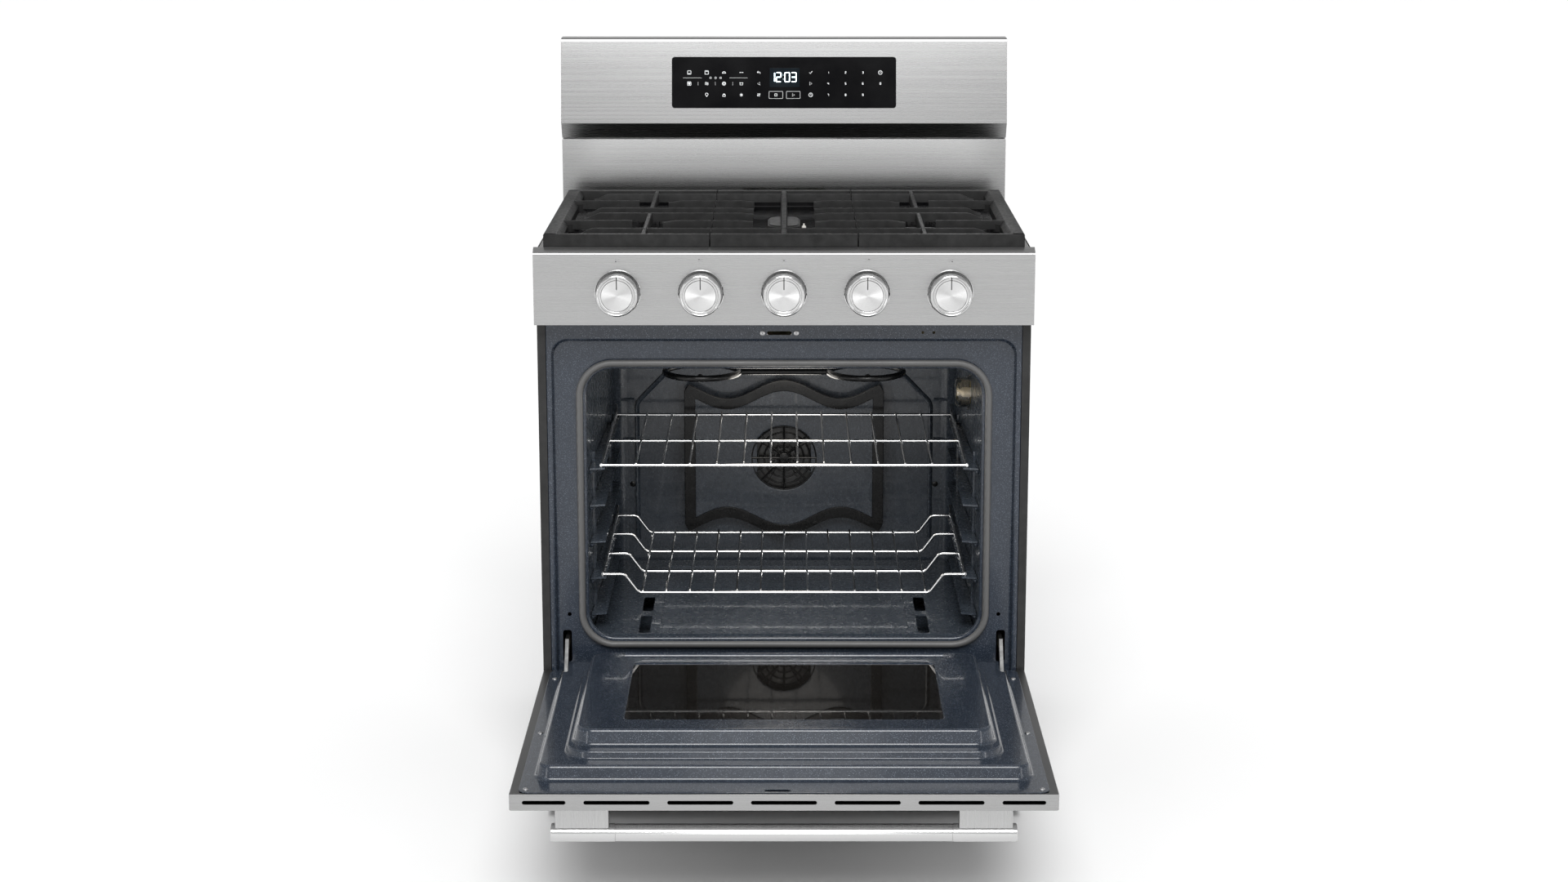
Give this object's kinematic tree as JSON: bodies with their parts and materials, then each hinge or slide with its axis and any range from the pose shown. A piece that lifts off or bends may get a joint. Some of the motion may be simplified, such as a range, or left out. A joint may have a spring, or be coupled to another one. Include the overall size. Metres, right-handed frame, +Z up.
{
  "type": "freestanding gas range",
  "caption": "Freestanding gas range with drop-down oven door, cast grates over the cooktop, turning knobs, sliding racks, storage drawer and a rear control console.",
  "frame": {"origin": "on the floor, under the middle of the box that holds the range with its door open", "axes": "+X across the range to its right as a user faces it, -Y towards the user, +Z up"},
  "size_m": [0.76, 1.189, 1.181],
  "materials": {
    "stainless": "brushed, satin",
    "black_paint": "satin baked paint",
    "dark_front": "dark grey satin paint",
    "galvanised": "dull zinc coat",
    "porcelain": "blue-grey vitreous enamel with fine light specks",
    "black_enamel": "glossy black vitreous enamel",
    "cast_iron": "matt black, slightly rough",
    "chrome_wire": "bright plating",
    "knob_metal": "spun disc and polished rim",
    "steel": "plain bright steel",
    "aluminium": "plain cast or drawn",
    "brass": "machined",
    "black_glass": "black tempered glass",
    "door_glass": "dark tinted tempered glass",
    "lens_glass": "clear ribbed glass",
    "seal_braid": "grey braided glass fibre",
    "wool": "mineral wool",
    "board": "circuit board",
    "ceramic": "white ceramic"
  },
  "bodies": {
    "cabinet": {"base_frame": "galvanised", "leveling_feet": "steel", "side_panel_left": "black_paint", "side_panel_right": "black_paint", "rear_panel": "galvanised", "cooktop": "black_enamel", "burner_heads": "aluminium", "burner_caps": "black_enamel", "igniters": "ceramic", "control_panel": "stainless", "knob_bezels": "chrome_wire", "gas_valves": "brass", "manifold_pipe": "steel", "gas_lines": "aluminium", "pressure_regulator": "aluminium", "backguard_panel": "stainless", "console_housing": "stainless", "control_glass": "black_glass", "control_board": "board", "oven_liner": "porcelain", "front_frame": "porcelain", "door_gasket": "seal_braid", "oven_floor": "black_enamel", "bake_burner": "steel", "broil_burner": "black_enamel", "fan_baffle": "black_enamel", "fan_motor": "galvanised", "oven_lamp": "ceramic", "lamp_lens": "lens_glass", "temperature_probe": "steel", "insulation": "wool", "rack_guides": "porcelain", "hinge_arms": "steel", "drawer_rails": "galvanised"},
    "door": {"door_skin": "stainless", "door_inner_panel": "porcelain", "inner_glass": "door_glass", "outer_glass": "black_glass", "handle_bar": "stainless", "handle_posts": "stainless", "hinge_channels": "galvanised"},
    "drawer": {"drawer_front": "dark_front", "drawer_box": "galvanised"},
    "upper_rack": {"rack_upper": "chrome_wire"},
    "lower_rack": {"rack_lower": "chrome_wire"},
    "fan": {"convection_fan": "aluminium"},
    "latch": {"door_latch": "steel"},
    "left_grate": {"grate_left": "cast_iron"},
    "center_grate": {"grate_center": "cast_iron"},
    "right_grate": {"grate_right": "cast_iron"},
    "valve_stem_1": {"stem_1": "steel"},
    "knob_1": {"knob_1": "knob_metal"},
    "valve_stem_2": {"stem_2": "steel"},
    "knob_2": {"knob_2": "knob_metal"},
    "valve_stem_3": {"stem_3": "steel"},
    "knob_3": {"knob_3": "knob_metal"},
    "valve_stem_4": {"stem_4": "steel"},
    "knob_4": {"knob_4": "knob_metal"},
    "valve_stem_5": {"stem_5": "steel"},
    "knob_5": {"knob_5": "knob_metal"}
  },
  "joints": [
    {"name": "door_hinge", "type": "hinge", "parent": "cabinet", "child": "door", "pos_m": [0, -0.0405, 0.232], "axis": [1, 0, 0], "range_deg": [-90, 0]},
    {"name": "drawer_slide", "type": "slide", "parent": "cabinet", "child": "drawer", "axis": [0, -1, 0], "range_m": [0, 0.4]},
    {"name": "upper_rack_slide", "type": "slide", "parent": "cabinet", "child": "upper_rack", "axis": [0, -1, 0], "range_m": [0, 0.3]},
    {"name": "lower_rack_slide", "type": "slide", "parent": "cabinet", "child": "lower_rack", "axis": [0, -1, 0], "range_m": [0, 0.3]},
    {"name": "left_grate_lift", "type": "slide", "parent": "cabinet", "child": "left_grate", "axis": [0, 0, 1], "range_m": [0, 0.1]},
    {"name": "center_grate_lift", "type": "slide", "parent": "cabinet", "child": "center_grate", "axis": [0, 0, 1], "range_m": [0, 0.1]},
    {"name": "right_grate_lift", "type": "slide", "parent": "cabinet", "child": "right_grate", "axis": [0, 0, 1], "range_m": [0, 0.1]},
    {"name": "fan_spin", "type": "hinge", "parent": "cabinet", "child": "fan", "pos_m": [0, 0.4595, 0.472], "axis": [0, 1, 0], "continuous": true},
    {"name": "latch_swing", "type": "hinge", "parent": "cabinet", "child": "latch", "pos_m": [0.033, 0.024, 0.774], "axis": [0, 0, 1], "range_deg": [0, 38]},
    {"name": "knob_1_turn", "type": "hinge", "parent": "cabinet", "child": "valve_stem_1", "pos_m": [-0.252, -0.0605, 0.84495], "axis": [0, -1, 0], "range_deg": [0, 270]},
    {"name": "knob_1_push", "type": "slide", "parent": "valve_stem_1", "child": "knob_1", "axis": [0, 1, 0], "range_m": [0, 0.003], "stiffness_N_per_m": 600},
    {"name": "knob_2_turn", "type": "hinge", "parent": "cabinet", "child": "valve_stem_2", "pos_m": [-0.126, -0.0605, 0.84495], "axis": [0, -1, 0], "range_deg": [0, 270]},
    {"name": "knob_2_push", "type": "slide", "parent": "valve_stem_2", "child": "knob_2", "axis": [0, 1, 0], "range_m": [0, 0.003], "stiffness_N_per_m": 600},
    {"name": "knob_3_turn", "type": "hinge", "parent": "cabinet", "child": "valve_stem_3", "pos_m": [0, -0.0605, 0.84495], "axis": [0, -1, 0], "range_deg": [0, 270]},
    {"name": "knob_3_push", "type": "slide", "parent": "valve_stem_3", "child": "knob_3", "axis": [0, 1, 0], "range_m": [0, 0.003], "stiffness_N_per_m": 600},
    {"name": "knob_4_turn", "type": "hinge", "parent": "cabinet", "child": "valve_stem_4", "pos_m": [0.126, -0.0605, 0.84495], "axis": [0, -1, 0], "range_deg": [0, 270]},
    {"name": "knob_4_push", "type": "slide", "parent": "valve_stem_4", "child": "knob_4", "axis": [0, 1, 0], "range_m": [0, 0.003], "stiffness_N_per_m": 600},
    {"name": "knob_5_turn", "type": "hinge", "parent": "cabinet", "child": "valve_stem_5", "pos_m": [0.252, -0.0605, 0.84495], "axis": [0, -1, 0], "range_deg": [0, 270]},
    {"name": "knob_5_push", "type": "slide", "parent": "valve_stem_5", "child": "knob_5", "axis": [0, 1, 0], "range_m": [0, 0.003], "stiffness_N_per_m": 600}
  ]
}
